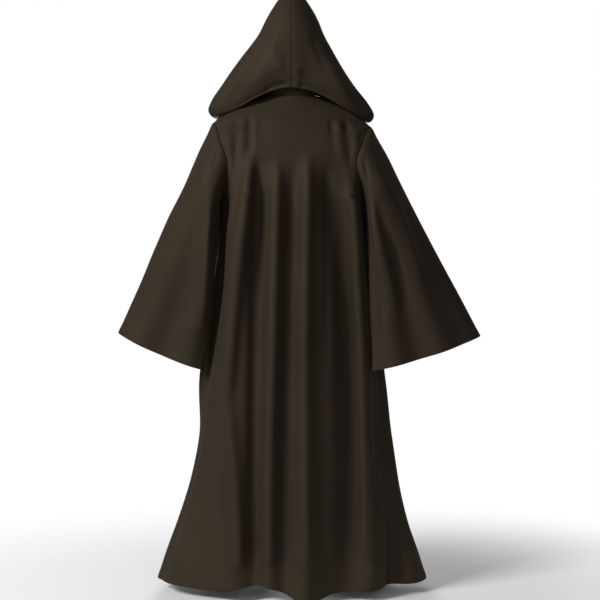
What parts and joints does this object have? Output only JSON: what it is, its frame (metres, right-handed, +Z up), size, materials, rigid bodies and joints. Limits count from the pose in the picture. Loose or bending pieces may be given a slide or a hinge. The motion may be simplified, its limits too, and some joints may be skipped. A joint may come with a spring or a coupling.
{
  "type": "hooded cloak",
  "caption": "Full-length hooded cloak with wide bell sleeves and an open front, in its worn shape with no wearer.",
  "frame": {"origin": "the middle of the neck opening, at the height of the wearer's shoulders, which carry the cloak", "axes": "+Z up, +Y towards the garment's back, so its open front faces -Y, and +X towards the wearer's left"},
  "size_m": [1.05, 0.4088, 1.7302],
  "materials": {
    "cloth": "soft dark brown cloth with a faint sheen"
  },
  "bodies": {
    "root": {"back": "cloth", "front_left": "cloth", "front_right": "cloth", "sleeve_left": "cloth", "sleeve_right": "cloth", "hood_left": "cloth", "hood_right": "cloth"}
  },
  "joints": []
}
